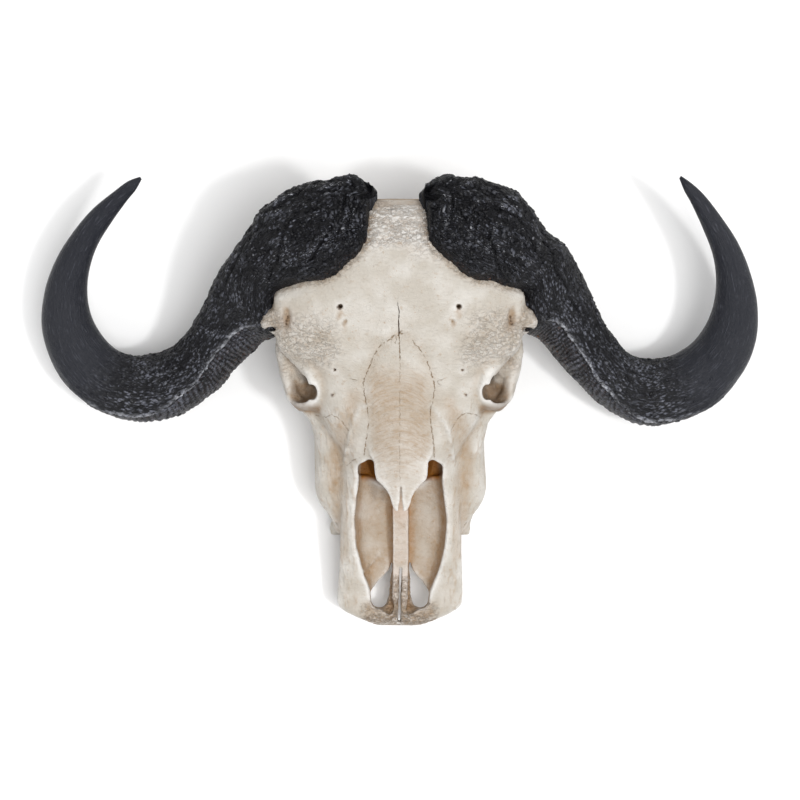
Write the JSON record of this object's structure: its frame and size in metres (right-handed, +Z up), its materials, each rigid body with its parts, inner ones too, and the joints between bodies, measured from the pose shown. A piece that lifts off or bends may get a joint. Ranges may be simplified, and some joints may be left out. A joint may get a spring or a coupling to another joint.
{
  "type": "cape buffalo skull",
  "caption": "Buffalo bull's skull with a heavy horn boss over the forehead and hooked horns, lying face up on its upper cheek teeth.",
  "frame": {"origin": "middle of the footprint, at the height of the cheek teeth's grinding faces", "axes": "+X along the spread of the horns, to the right as seen from above with the nose towards the viewer; +Y from the nose to the crest; +Z up, out of the forehead"},
  "size_m": [0.833, 0.522, 0.2449],
  "materials": {
    "bone": "dry ivory bone, matt, tan in its wrinkles and on the nose",
    "horn": "near black keratin, satin, rough and ridged on the boss, smooth at the tips",
    "tooth": "bluish white enamel with dark stain between its ridges"
  },
  "bodies": {
    "root": {"skull": "bone", "horn_left": "horn", "horn_right": "horn", "tooth_left_p2": "tooth", "tooth_left_p3": "tooth", "tooth_left_p4": "tooth", "tooth_left_m1": "tooth", "tooth_left_m2": "tooth", "tooth_left_m3": "tooth", "tooth_right_p2": "tooth", "tooth_right_p3": "tooth", "tooth_right_p4": "tooth", "tooth_right_m1": "tooth", "tooth_right_m2": "tooth", "tooth_right_m3": "tooth"}
  },
  "joints": []
}
